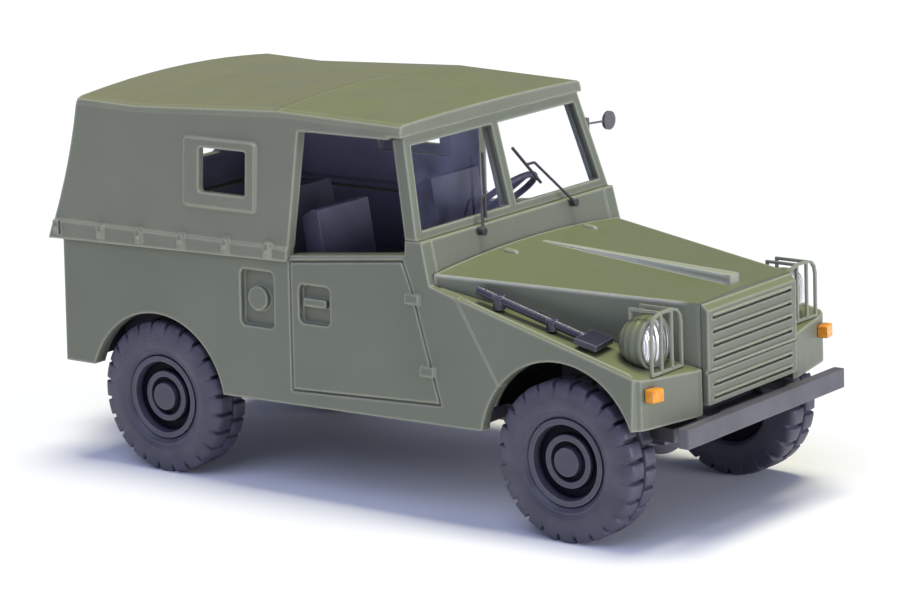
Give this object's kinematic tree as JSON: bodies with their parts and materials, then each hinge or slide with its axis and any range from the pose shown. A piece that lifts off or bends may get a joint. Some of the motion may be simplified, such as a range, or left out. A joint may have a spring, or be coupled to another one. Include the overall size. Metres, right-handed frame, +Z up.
{
  "type": "scale model army 4x4 car",
  "caption": "Moulded plastic 1:87 scale model of a small army 4x4 car with a canvas top, open door windows, guarded lamps, a spade on the wing and rolling wheels.",
  "frame": {"origin": "on the ground, on the centre plane, midway between the two axles", "axes": "+X forward, +Y to the left side of the car, +Z up"},
  "size_m": [0.0414, 0.0183, 0.0199],
  "materials": {
    "body_green": "satin moulded grey-green plastic",
    "canvas_green": "satin moulded olive plastic with a fine cloth-like grain",
    "rim_dark": "dark moulded plastic, slightly glossy",
    "tyre_black": "black moulded plastic, slightly glossy",
    "axle_steel": "bright drawn steel pin",
    "clear_plastic": "clear moulded plastic",
    "lamp_silver": "silver-printed clear plastic",
    "indicator_orange": "glossy orange paint",
    "lamp_red": "glossy red paint",
    "chassis_grey": "satin dark grey plastic",
    "cabin_black": "satin black plastic"
  },
  "bodies": {
    "car": {"body_tub": "body_green", "bonnet": "body_green", "bumper": "chassis_grey", "cabin_floor": "cabin_black", "canvas_panes": "clear_plastic", "canvas_top": "canvas_green", "chassis": "chassis_grey", "cowl": "body_green", "dashboard": "cabin_black", "fender_left": "body_green", "fender_right": "body_green", "grille": "body_green", "headlamp_left": "body_green", "headlamp_right": "body_green", "indicator_left": "indicator_orange", "indicator_right": "indicator_orange", "lamp_guard_left": "body_green", "lamp_guard_right": "body_green", "lens_left": "lamp_silver", "lens_right": "lamp_silver", "mirror_left": "body_green", "rear_bench": "cabin_black", "seat_left": "cabin_black", "seat_right": "cabin_black", "spade": "chassis_grey", "spare_carrier": "chassis_grey", "spare_rim": "rim_dark", "spare_tyre": "tyre_black", "steering_wheel": "cabin_black", "tail_lamp_left": "lamp_red", "tail_lamp_right": "lamp_red", "tow_hitch": "chassis_grey", "windscreen_frame": "body_green", "windscreen_glass": "clear_plastic", "wiper_left": "cabin_black", "wiper_right": "cabin_black"},
    "front_wheelset": {"axle_front": "axle_steel", "tyre_front_left": "tyre_black", "tyre_front_right": "tyre_black", "rim_front_left": "rim_dark", "rim_front_right": "rim_dark"},
    "rear_wheelset": {"axle_rear": "axle_steel", "tyre_rear_left": "tyre_black", "tyre_rear_right": "tyre_black", "rim_rear_left": "rim_dark", "rim_rear_right": "rim_dark"}
  },
  "joints": [
    {"name": "front_wheels_roll", "type": "hinge", "parent": "car", "child": "front_wheelset", "pos_m": [0.01273, 0, 0.00396], "axis": [0, 1, 0], "continuous": true},
    {"name": "rear_wheels_roll", "type": "hinge", "parent": "car", "child": "rear_wheelset", "pos_m": [-0.01273, 0, 0.00396], "axis": [0, 1, 0], "continuous": true}
  ]
}
